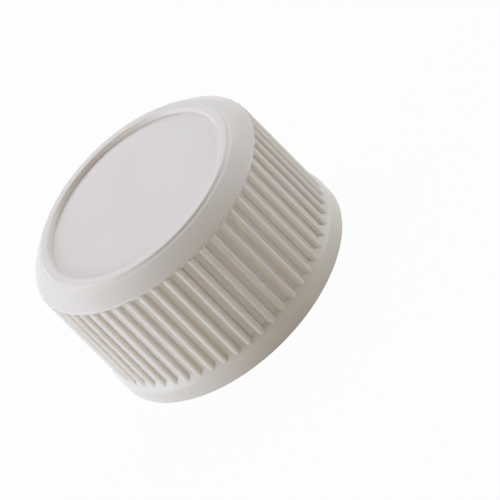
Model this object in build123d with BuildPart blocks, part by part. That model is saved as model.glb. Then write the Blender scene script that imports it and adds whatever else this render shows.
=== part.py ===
"""Ribbed plastic screw cap for a 28 mm bottle neck, moulded in one piece.

The cap stands on its open rim: the origin is the middle of the rim, and +Z runs up
through the closed, recessed top. All sizes are in millimetres.
"""
from build123d import *
from math import acos, cos, degrees, radians, sin, sqrt, tan
import os

# ---- driving dimensions ----
CAP_RADIUS = 15.6  # over the plain band at the open rim
CAP_HEIGHT = 17.2

# plain band round the open rim
BAND_TOP = 1.75
BAND_LEAN = 0.14  # above it the band first leans in by this much
BAND_LEAN_RISE = 0.45
BAND_SLOPE = 0.26  # height of the slope from there up to the ribs
BAND_EDGE = 0.8  # rounding of the two bends
RIM_BEVEL = 0.14  # along the outer edge of the rim
RIM_WIDTH = 0.58  # flat lip that the cap stands on

# skirt with its ribs
RIB_COUNT = 56
RIB_FOOT_RADIUS = 15.28  # over the ribs where they leave the band
RIB_TOP = 15.15
RIB_TOP_BEVEL = 0.07
RIB_ROUND = 0.45  # radius of the ribs' round section
RIB_PROUD = 0.008  # the round section would stand this far past the crest, which cuts it flat
DRAFT = 1.1  # degrees of taper that lets the skirt leave the mould
GROOVE_DEPTH = 0.42
GROOVE_FOOT_SLOPE = 1.35  # rise over run of the groove's foot, a little flatter than the band's slope
GROOVE_END = 15.2  # height where the groove's sloping upper end meets the shoulder
GROOVE_END_SLOPE = 1.3  # rise over run of that end

# closed top: shoulder, raised ring, recessed panel
SHOULDER_STEP = 0.1  # the shoulder stands in from the ribs by this much
SHOULDER_RISE = 0.2  # height of the plain land above the step
SHOULDER_LEAN = 0.02  # the land leans in by this much
SHOULDER_EDGE = 0.2  # rounding between the land and the arched slope above it
SHOULDER_MIDDLE_RADIUS = 14.12
SHOULDER_MIDDLE_HEIGHT = 16.08
SHOULDER_TOP_RADIUS = 13.1
SHOULDER_TOP_HEIGHT = 16.85
CREASE_RADIUS = 12.78
CREASE_DEPTH = 0.22  # from the top of the ring down to the crease round it
RING_OUTER = 12.62
RING_INNER = 11.72
PANEL_DEPTH = 0.55
PANEL_RADIUS = 11.5
TOP_THICKNESS = 1.25
RING_OUTER_EDGE = 0.12
RING_INNER_EDGE = 0.14
CREASE_EDGE = 0.12
PANEL_EDGE = 0.25
CEILING_EDGE = 0.6

# bore and mouth
BORE_RADIUS = 13.87
MOUTH_RADIUS = 14.03
MOUTH_STEP = 2.4  # height of the fine step between mouth and bore
MOUTH_STEP_SLOPE = 0.06  # height that the step takes

# ratchet teeth in the flared mouth
TOOTH_COUNT = 20
TOOTH_ROOT = 1.27  # height where the teeth leave the mouth wall
TOOTH_TIP = 0.12
TOOTH_SPAN = 9.3  # degrees of the circle that one tooth takes at its root
TOOTH_LEAN = 2.0  # degrees that the steep flank leans
TOOTH_BLUNT = 0.6  # degrees left flat at the tip
FLARE_FOOT = 14.67
FLARE_TOP = 14.15
FLARE_LIP = 0.2  # height of the bevel from the lip into the flare
FLARE_LEDGE = 0.06  # height of the slight ledge between the teeth

# thread, single start, right hand
THREAD_PITCH = 4.23
THREAD_TURNS = 2
THREAD_START = 3.6  # height of the ridge's lower edge where it begins
THREAD_START_ANGLE = 120
THREAD_DEPTH = 0.85
THREAD_LEAD_FLANK = 1.1  # heights along the wall: flank towards the rim, crest, other flank
THREAD_CREST = 0.5
THREAD_BACK_FLANK = 0.35
THREAD_ROOTED = 0.15  # how far the ridge is sunk into the wall

CLEAR = 1.0  # how far a cutter stands past what it cuts

# ---- derived sizes ----
slope_foot = BAND_TOP + BAND_LEAN_RISE
rib_foot = slope_foot + BAND_SLOPE
rib_top_radius = RIB_FOOT_RADIUS - (RIB_TOP - rib_foot) * tan(radians(DRAFT))
shoulder_radius = rib_top_radius - SHOULDER_STEP
rim_inner_radius = CAP_RADIUS - RIM_WIDTH
panel_height = CAP_HEIGHT - PANEL_DEPTH
ceiling_height = panel_height - TOP_THICKNESS


def corners_at(vertices, *places):
    """The vertices of a sketch that lie at the given places."""
    return [v for v in vertices for x, y in places if abs(v.X - x) + abs(v.Y - y) < 0.001]


# ---- cutter for one groove between two ribs ----
crest_at_rim = RIB_FOOT_RADIUS + rib_foot * tan(radians(DRAFT))
groove_inside = rib_top_radius - GROOVE_DEPTH - CLEAR
groove_outside = CAP_RADIUS + CLEAR
# the groove follows the ribs' draft
groove_plane = Plane(
    origin=(crest_at_rim, 0, 0),
    x_dir=(cos(radians(DRAFT)), 0, sin(radians(DRAFT))),
    z_dir=(-sin(radians(DRAFT)), 0, cos(radians(DRAFT))),
)
# middle of the next rib's round section, as seen in the groove's section
half_pitch = 180 / RIB_COUNT
rib_middle_radius = rib_top_radius + RIB_PROUD - RIB_ROUND
rib_middle_out = rib_middle_radius * cos(radians(half_pitch)) - rib_top_radius
rib_middle_across = rib_middle_radius * sin(radians(half_pitch))


def on_rib(turn):
    """Point on the rib's round section, turned by some degrees from its crest to the groove."""
    return (
        rib_middle_out + RIB_ROUND * cos(radians(turn - half_pitch)),
        rib_middle_across - RIB_ROUND * sin(radians(turn - half_pitch)),
    )


def foot_cone(radius):
    """Height of the cone that closes the groove above the band."""
    return rib_foot + (RIB_FOOT_RADIUS - radius) * GROOVE_FOOT_SLOPE


def end_cone(radius):
    """Height of the cone that closes the groove under the shoulder."""
    return GROOVE_END + (radius - shoulder_radius) * GROOVE_END_SLOPE


with BuildPart() as groove:
    with BuildSketch(groove_plane):
        with BuildLine():
            floor_middle = (-GROOVE_DEPTH, 0)
            wall_turn = degrees(acos((-GROOVE_DEPTH - rib_middle_out) / RIB_ROUND)) + half_pitch
            floor_corner = on_rib(wall_turn)
            mouth_turn = degrees(acos(1 - RIB_PROUD / RIB_ROUND)) / 2
            mouth_edge = on_rib(mouth_turn)
            Line(floor_middle, floor_corner)
            ThreePointArc(floor_corner, on_rib((wall_turn + mouth_turn) / 2), mouth_edge)
            Polyline(mouth_edge, (CLEAR, mouth_edge[1]), (CLEAR, 0), floor_middle)
        make_face()
        mirror(about=Plane.XZ)
    extrude(amount=CAP_HEIGHT)
    # its two ends
    with BuildSketch(Plane.XZ):
        Polygon(
            (groove_inside, foot_cone(groove_inside)),
            (groove_outside, foot_cone(groove_outside)),
            (groove_outside, end_cone(groove_outside)),
            (groove_inside, end_cone(groove_inside)),
            align=None,
        )
    revolve(axis=Axis.Z, mode=Mode.INTERSECT)

# ---- cutter for the flared mouth, which leaves the ratchet teeth standing ----
tooth_half = TOOTH_SPAN / 2
tip_start = TOOTH_LEAN - tooth_half
tip_end = tip_start + TOOTH_BLUNT
flare_inner_radius = MOUTH_RADIUS - CLEAR


def across(angle):
    """Distance across the mouth wall from the middle of a tooth to an angle on it."""
    return MOUTH_RADIUS * sin(radians(angle))


with BuildPart() as tooth:
    # seen from the axis: a steep flank, a short blunt tip and a long slope back up
    with BuildSketch(Plane.YZ.offset(flare_inner_radius)):
        Polygon(
            (across(-tooth_half), TOOTH_ROOT + CLEAR),
            (across(-tooth_half), TOOTH_ROOT),
            (across(tip_start), TOOTH_TIP),
            (across(tip_end), TOOTH_TIP),
            (across(tooth_half), TOOTH_ROOT),
            (across(tooth_half), TOOTH_ROOT + CLEAR),
            align=None,
        )
    extrude(amount=CAP_RADIUS - flare_inner_radius)

with BuildPart() as flare:
    with BuildSketch(Plane.XZ):
        Polygon(
            (flare_inner_radius, -CLEAR),
            (rim_inner_radius, -CLEAR),
            (rim_inner_radius, 0),
            (FLARE_FOOT, FLARE_LIP),
            (FLARE_TOP, TOOTH_ROOT - FLARE_LEDGE),
            (MOUTH_RADIUS, TOOTH_ROOT),
            (flare_inner_radius, TOOTH_ROOT),
            align=None,
        )
    revolve(axis=Axis.Z)
    with PolarLocations(0, TOOTH_COUNT):
        add(tooth.part, mode=Mode.SUBTRACT)

# ---- thread ridge ----
thread_height = THREAD_PITCH * THREAD_TURNS
thread_base = THREAD_LEAD_FLANK + THREAD_CREST + THREAD_BACK_FLANK
crest_radius = BORE_RADIUS - THREAD_DEPTH
run_out = sqrt(BORE_RADIUS**2 - crest_radius**2)
run_out_angle = degrees(acos(crest_radius / BORE_RADIUS))
run_out_room = (THREAD_PITCH - thread_base) / 3

with BuildPart() as thread:
    with BuildLine() as helix:
        Helix(pitch=THREAD_PITCH, height=thread_height, radius=BORE_RADIUS, center=(0, 0, THREAD_START))
    ridge_plane = Plane(origin=helix.line @ 0, x_dir=(-1, 0, 0), z_dir=helix.line % 0)
    with BuildSketch(ridge_plane):
        # both flanks run on into the wall at their own slopes
        Polygon(
            (-THREAD_ROOTED, -THREAD_ROOTED * THREAD_LEAD_FLANK / THREAD_DEPTH),
            (THREAD_DEPTH, THREAD_LEAD_FLANK),
            (THREAD_DEPTH, THREAD_LEAD_FLANK + THREAD_CREST),
            (-THREAD_ROOTED, thread_base + THREAD_ROOTED * THREAD_BACK_FLANK / THREAD_DEPTH),
            align=None,
        )
    sweep(path=helix.line, is_frenet=True)
    # at each end a flat cut, tangent to the crest, lets the ridge run out into the wall
    for end_height, turn, side in (
        (THREAD_START, run_out_angle, Align.MAX),
        (THREAD_START + thread_height, -run_out_angle, Align.MIN),
    ):
        cut_plane = Plane(origin=(0, 0, end_height - run_out_room)).rotated((0, 0, turn))
        with BuildSketch(cut_plane):
            with Locations((crest_radius, 0)):
                Rectangle(run_out, run_out, align=(Align.MAX, side))
        extrude(amount=thread_base + 2 * run_out_room, mode=Mode.SUBTRACT)


# ---- the cap ----
with BuildPart() as screw_cap:
    with BuildSketch(Plane.XZ) as half_section:
        with BuildLine():
            rim_inner = (MOUTH_RADIUS, 0)
            rim_outer = (CAP_RADIUS, 0)
            band_edge = (CAP_RADIUS, BAND_TOP)
            band_bend = (CAP_RADIUS - BAND_LEAN, slope_foot)
            rib_start = (RIB_FOOT_RADIUS, rib_foot)
            rib_end = (rib_top_radius, RIB_TOP)
            shoulder_foot = (shoulder_radius, RIB_TOP)
            shoulder_corner = (shoulder_radius - SHOULDER_LEAN, RIB_TOP + SHOULDER_RISE)
            shoulder_middle = (SHOULDER_MIDDLE_RADIUS, SHOULDER_MIDDLE_HEIGHT)
            shoulder_top = (SHOULDER_TOP_RADIUS, SHOULDER_TOP_HEIGHT)
            crease = (CREASE_RADIUS, CAP_HEIGHT - CREASE_DEPTH)
            ring_outer = (RING_OUTER, CAP_HEIGHT)
            ring_inner = (RING_INNER, CAP_HEIGHT)
            panel_edge = (PANEL_RADIUS, panel_height)
            ceiling_corner = (BORE_RADIUS, ceiling_height)
            step_top = (BORE_RADIUS, MOUTH_STEP)
            step_foot = (MOUTH_RADIUS, MOUTH_STEP - MOUTH_STEP_SLOPE)
            Polyline(rim_outer, band_edge, band_bend, rib_start, rib_end, shoulder_foot)
            Line(shoulder_foot, shoulder_corner)
            ThreePointArc(shoulder_corner, shoulder_middle, shoulder_top)
            Polyline(shoulder_top, crease, ring_outer, ring_inner, panel_edge, (0, panel_height))
            Polyline((0, panel_height), (0, ceiling_height), ceiling_corner)
            Polyline(ceiling_corner, step_top, step_foot, rim_inner, rim_outer)
        make_face()
        section_corners = half_section.vertices()
        chamfer(corners_at(section_corners, rim_outer), length=RIM_BEVEL)
        fillet(corners_at(section_corners, band_edge, band_bend), radius=BAND_EDGE)
        chamfer(corners_at(section_corners, rib_end), length=RIB_TOP_BEVEL)
        fillet(corners_at(section_corners, shoulder_corner), radius=SHOULDER_EDGE)
        fillet(corners_at(section_corners, ring_outer), radius=RING_OUTER_EDGE)
        fillet(corners_at(section_corners, ring_inner), radius=RING_INNER_EDGE)
        fillet(corners_at(section_corners, crease), radius=CREASE_EDGE)
        fillet(corners_at(section_corners, panel_edge), radius=PANEL_EDGE)
        fillet(corners_at(section_corners, ceiling_corner), radius=CEILING_EDGE)
    revolve(axis=Axis.Z)
    with PolarLocations(0, RIB_COUNT):
        add(groove.part, mode=Mode.SUBTRACT)
    add(flare.part, mode=Mode.SUBTRACT)
    add(thread.part.rotate(Axis.Z, THREAD_START_ANGLE))

screw_cap.part.label = "screw_cap"
os.makedirs("parts", exist_ok=True)
export_step(screw_cap.part, "parts/screw_cap.step")
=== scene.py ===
# %% [markdown]
# A ribbed plastic screw cap, dressed and lit in Blender.
#
# The cap is moulded in one shot from a white plastic, so there is one piece and one
# material. Its form is finished already in the CAD model that is loaded here as a fixed
# frame: ribs, shoulder, raised ring, recessed panel, thread and ratchet teeth are all
# geometry. What is left for Blender is the surface of the plastic, the light and the camera.

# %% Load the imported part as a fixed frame
from math import radians

import bpy
from mathutils import Euler, Matrix, Vector


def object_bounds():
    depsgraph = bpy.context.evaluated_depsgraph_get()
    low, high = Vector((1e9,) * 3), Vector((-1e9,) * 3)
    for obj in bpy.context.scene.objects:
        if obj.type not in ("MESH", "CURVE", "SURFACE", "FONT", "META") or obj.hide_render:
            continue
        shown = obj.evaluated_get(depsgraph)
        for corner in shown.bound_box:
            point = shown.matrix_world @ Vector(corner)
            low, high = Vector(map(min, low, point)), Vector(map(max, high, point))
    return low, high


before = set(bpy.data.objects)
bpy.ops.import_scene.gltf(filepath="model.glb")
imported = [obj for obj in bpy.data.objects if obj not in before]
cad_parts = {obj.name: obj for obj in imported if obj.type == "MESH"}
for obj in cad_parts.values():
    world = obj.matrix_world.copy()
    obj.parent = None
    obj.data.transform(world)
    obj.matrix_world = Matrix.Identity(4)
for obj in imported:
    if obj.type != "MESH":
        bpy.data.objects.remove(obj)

cad_low, cad_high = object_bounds()
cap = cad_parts["screw_cap"]
print("cap box in mm", [round(v * 1000, 2) for v in (*cad_low, *cad_high)])
print("triangles in the cap", len(cap.data.polygons))

# %% [markdown]
# Node materials are easier to read when each node is added with its settings in one line.
# This small helper does that, and the next one joins sockets.

# %% Helpers for node trees
def add_node(tree, kind, label, values=None, **settings):
    """Add a node, set its properties, and fill the named or numbered input sockets."""
    node = tree.nodes.new(kind)
    node.label = label
    for name, value in settings.items():
        setattr(node, name, value)
    for socket, value in (values or {}).items():
        node.inputs[socket].default_value = value
    return node


def join(tree, *pairs):
    """Link each (from socket, to socket) pair."""
    for out_socket, in_socket in pairs:
        tree.links.new(out_socket, in_socket)


# %% [markdown]
# The surface of a moulded cap is a copy of the steel that it was pressed against. Two
# things show on it from close up: a very fine, even grain left by the polished steel, and
# slow changes in gloss where the plastic cooled at different speeds. An image of such a
# surface would have to be laid over the ribs without a seam. Noise needs no image, and both
# effects are noise at different sizes, so one node group hands out a height for the grain
# and a mask for the slow changes. It reads Object coordinates, in metres, so the pattern
# stays fixed to the cap.

# %% Node group: moulded skin
def moulded_skin():
    group = bpy.data.node_groups.new("moulded skin", "ShaderNodeTree")
    face = group.interface
    face.new_socket("Grain size (per m)", in_out="INPUT", socket_type="NodeSocketFloat")
    face.new_socket("Flow size (per m)", in_out="INPUT", socket_type="NodeSocketFloat")
    face.new_socket("Grain height", in_out="OUTPUT", socket_type="NodeSocketFloat")
    face.new_socket("Flow mask", in_out="OUTPUT", socket_type="NodeSocketFloat")
    inputs = add_node(group, "NodeGroupInput", "sizes")
    outputs = add_node(group, "NodeGroupOutput", "results")
    place = add_node(group, "ShaderNodeTexCoord", "place on the cap")
    grain = add_node(group, "ShaderNodeTexNoise", "steel grain", {"Detail": 3.0, "Roughness": 0.55})
    flow = add_node(group, "ShaderNodeTexNoise", "slow cooling", {"Detail": 2.0, "Roughness": 0.4})
    join(
        group,
        (place.outputs["Object"], grain.inputs["Vector"]),
        (place.outputs["Object"], flow.inputs["Vector"]),
        (inputs.outputs["Grain size (per m)"], grain.inputs["Scale"]),
        (inputs.outputs["Flow size (per m)"], flow.inputs["Scale"]),
        (grain.outputs["Fac"], outputs.inputs["Grain height"]),
        (flow.outputs["Fac"], outputs.inputs["Flow mask"]),
    )
    return group


skin_group = moulded_skin()
print("node group", skin_group.name, "with", len(skin_group.nodes), "nodes")

# %% [markdown]
# The plastic itself is a white resin, most likely polypropylene. It isn't pure white:
# pigment and resin give it a warm tone, which shows most where light bounces about in the
# grooves. A plain diffuse shader would look like chalk. Light goes a little way into the
# plastic before it comes back out, which softens the shade in the grooves, so the shader
# uses some subsurface scattering. The finish is satin: the highlight on the rib edges is
# broad and soft. No moulded edge is truly sharp either. A bevel in the shader turns the
# normals beside sharp edges, so they shade as if rounded by a fifth of a millimetre. It
# moves no surface.

# %% Material: white moulded plastic
GRAIN_PER_METRE = 5200.0
FLOW_PER_METRE = 160.0
DARKER_RESIN = (0.785, 0.748, 0.695, 1)
PALER_RESIN = (0.815, 0.780, 0.730, 1)
SCATTER_DEPTH = 0.0008  # metres
EDGE_SOFTNESS = 0.0002  # metres, seen in the shading only


def cap_plastic():
    material = bpy.data.materials.new("cap_plastic")
    material.use_nodes = True
    tree = material.node_tree
    tree.nodes.clear()
    result = add_node(tree, "ShaderNodeOutputMaterial", "surface")
    shader = add_node(
        tree,
        "ShaderNodeBsdfPrincipled",
        "white plastic",
        {
            "IOR": 1.49,
            "Subsurface Weight": 0.4,
            "Subsurface Radius": (1.0, 0.8, 0.65),
            "Subsurface Scale": SCATTER_DEPTH,
        },
    )
    skin = add_node(tree, "ShaderNodeGroup", "skin", node_tree=skin_group)
    skin.inputs["Grain size (per m)"].default_value = GRAIN_PER_METRE
    skin.inputs["Flow size (per m)"].default_value = FLOW_PER_METRE
    tint = add_node(tree, "ShaderNodeMix", "resin and pigment", data_type="RGBA")
    tint.inputs["A"].default_value = DARKER_RESIN
    tint.inputs["B"].default_value = PALER_RESIN
    gloss = add_node(tree, "ShaderNodeMapRange", "gloss", {"To Min": 0.38, "To Max": 0.48})
    soft_edges = add_node(tree, "ShaderNodeBevel", "softened edges", {"Radius": EDGE_SOFTNESS}, samples=6)
    bump = add_node(tree, "ShaderNodeBump", "grain", {"Strength": 0.12, "Distance": 0.00002})
    join(
        tree,
        (skin.outputs["Flow mask"], tint.inputs["Factor"]),
        (tint.outputs["Result"], shader.inputs["Base Color"]),
        (skin.outputs["Flow mask"], gloss.inputs["Value"]),
        (gloss.outputs["Result"], shader.inputs["Roughness"]),
        (skin.outputs["Grain height"], bump.inputs["Height"]),
        (soft_edges.outputs["Normal"], bump.inputs["Normal"]),
        (bump.outputs["Normal"], shader.inputs["Normal"]),
        (shader.outputs["BSDF"], result.inputs["Surface"]),
    )
    return material


cap.data.materials.clear()
cap.data.materials.append(cap_plastic())
for slot in cap.material_slots:
    print("material on the cap:", slot.material.name)

# %% [markdown]
# The cap stands on a white table. The floor is a plain plane, large enough to fill the
# view. A floor that is only diffuse would need very strong lamps to look white, and they
# would bleach the cap. So camera and glossy rays see it as white, mixed with a little of
# the matt table so that a trace of the cap's soft shadow still shows.

# %% Floor
FLOOR_SIZE = 4.0  # metres
TABLE_COLOUR = (0.56, 0.54, 0.51, 1)
WHITE = (1, 1, 1, 1)
SHARE_OF_WHITE = 0.97

bpy.ops.mesh.primitive_plane_add(size=FLOOR_SIZE, location=(0, 0, 0))
floor = bpy.context.object
floor.name = "floor"

white_table = bpy.data.materials.new("white_table")
white_table.use_nodes = True
tree = white_table.node_tree
tree.nodes.clear()
table_result = add_node(tree, "ShaderNodeOutputMaterial", "surface")
table_diffuse = add_node(tree, "ShaderNodeBsdfDiffuse", "matt table", {"Color": TABLE_COLOUR})
table_white = add_node(tree, "ShaderNodeEmission", "white to the eye", {"Color": WHITE, "Strength": 1.0})
table_mix = add_node(tree, "ShaderNodeMixShader", "mostly white")
rays = add_node(tree, "ShaderNodeLightPath", "what kind of ray")
eye_or_gloss = add_node(tree, "ShaderNodeMath", "camera or glossy", operation="MAXIMUM")
share = add_node(tree, "ShaderNodeMath", "share of white", {1: SHARE_OF_WHITE}, operation="MULTIPLY")
join(
    tree,
    (rays.outputs["Is Camera Ray"], eye_or_gloss.inputs[0]),
    (rays.outputs["Is Glossy Ray"], eye_or_gloss.inputs[1]),
    (eye_or_gloss.outputs[0], share.inputs[0]),
    (share.outputs[0], table_mix.inputs["Fac"]),
    (table_diffuse.outputs[0], table_mix.inputs[1]),
    (table_white.outputs[0], table_mix.inputs[2]),
    (table_mix.outputs[0], table_result.inputs["Surface"]),
)
floor.data.materials.append(white_table)
print("floor is", FLOOR_SIZE, "m across")

# %% [markdown]
# The world gives a weak, slightly warm fill from all round. To the camera it is plain
# white, so that a view from low down has about the same background as the floor.

# %% World
FILL = 0.132
FILL_COLOUR = (1.0, 0.89, 0.88, 1)

world = bpy.data.worlds.new("studio")
bpy.context.scene.world = world
world.use_nodes = True
tree = world.node_tree
tree.nodes.clear()
sky = add_node(tree, "ShaderNodeOutputWorld", "world")
fill = add_node(tree, "ShaderNodeBackground", "studio fill", {"Color": FILL_COLOUR, "Strength": FILL})
backdrop = add_node(tree, "ShaderNodeBackground", "white backdrop", {"Color": WHITE, "Strength": 1.0})
choice = add_node(tree, "ShaderNodeMixShader", "eye or light")
rays = add_node(tree, "ShaderNodeLightPath", "what kind of ray")
join(
    tree,
    (rays.outputs["Is Camera Ray"], choice.inputs["Fac"]),
    (fill.outputs[0], choice.inputs[1]),
    (backdrop.outputs[0], choice.inputs[2]),
    (choice.outputs[0], sky.inputs["Surface"]),
)
print("world fill", FILL)

# %% [markdown]
# Five soft boxes of one size stand round the cap, as in a light tent. The same light from
# every side would leave the ribs flat, so the boxes differ in strength and tint. Two are
# high up at the back and light the closed top. One at the left and one at the right are
# low, and each of them lights one side of the ribs. The last is weak and warm and stands
# in front, so the near side of the skirt stays the darkest and its grooves a little warm.
# All are at one distance, so a box needs only its turn round the cap, counted from the
# cap's right by way of its back, and its rise above the table.

# %% Soft boxes
LAMP_SIZE = 0.30  # metres
LAMP_DISTANCE = 0.45  # metres from the middle of the cap


def soft_box(name, turn, rise, watts, colour):
    """A square area lamp that faces the middle of the cap. Turn and rise are in degrees."""
    data = bpy.data.lights.new(name, "AREA")
    data.shape = "SQUARE"
    data.size = LAMP_SIZE
    data.energy = watts
    data.color = colour
    lamp = bpy.data.objects.new(name, data)
    bpy.context.scene.collection.objects.link(lamp)
    outward = Vector((1, 0, 0))
    outward.rotate(Euler((0, -radians(rise), radians(turn))))
    lamp.location = (cad_low + cad_high) / 2 + outward * LAMP_DISTANCE
    lamp.rotation_euler = outward.to_track_quat("Z", "Y").to_euler()
    print(name, "at", [round(v, 3) for v in lamp.location], "m,", watts, "W")


soft_box("back_right_box", 60, 45, 0.95, (0.76, 0.82, 1.00))
soft_box("back_left_box", 120, 45, 0.80, (1.00, 0.96, 0.96))
soft_box("right_box", 0, 10, 1.10, (0.97, 1.00, 0.98))
soft_box("left_box", 180, 10, 1.86, (0.73, 0.83, 1.00))
soft_box("front_box", 240, 10, 0.47, (1.00, 0.86, 0.60))

# %% [markdown]
# The camera is eleven cap widths away and has a long lens. A short lens close by would
# make the near side of the ring look much larger than the far side. It looks down at about
# 32 degrees and is rolled, so that the cap's axis runs up to the left.

# %% Camera
VIEW_TURN = -1.4  # degrees round the cap
VIEW_DOWN = 31.79
VIEW_ROLL = -44.54
VIEW_DISTANCE = 0.3450  # metres
VIEW_AIM = (0.00470, -0.01137, 0.0086)
VIEW_LENS = 234.15  # millimetres, on a sensor 36 mm wide

camera_data = bpy.data.cameras.new("camera")
camera_data.lens = VIEW_LENS
camera_data.sensor_width = 36.0
camera_data.clip_start = 0.01
camera = bpy.data.objects.new("camera", camera_data)
bpy.context.scene.collection.objects.link(camera)
camera.matrix_world = (
    Matrix.Rotation(radians(VIEW_TURN), 4, "Z")
    @ Matrix.Translation(VIEW_AIM)
    @ Matrix.Rotation(radians(90 - VIEW_DOWN), 4, "X")
    @ Matrix.Rotation(radians(VIEW_ROLL), 4, "Z")
    @ Matrix.Translation((0, 0, VIEW_DISTANCE))
)
bpy.context.scene.camera = camera
print("camera at", [round(v, 4) for v in camera.matrix_world.translation])

# %% [markdown]
# Colours are shown as they are written, with the Standard view transform.

bpy.context.scene.view_settings.view_transform = "Standard"
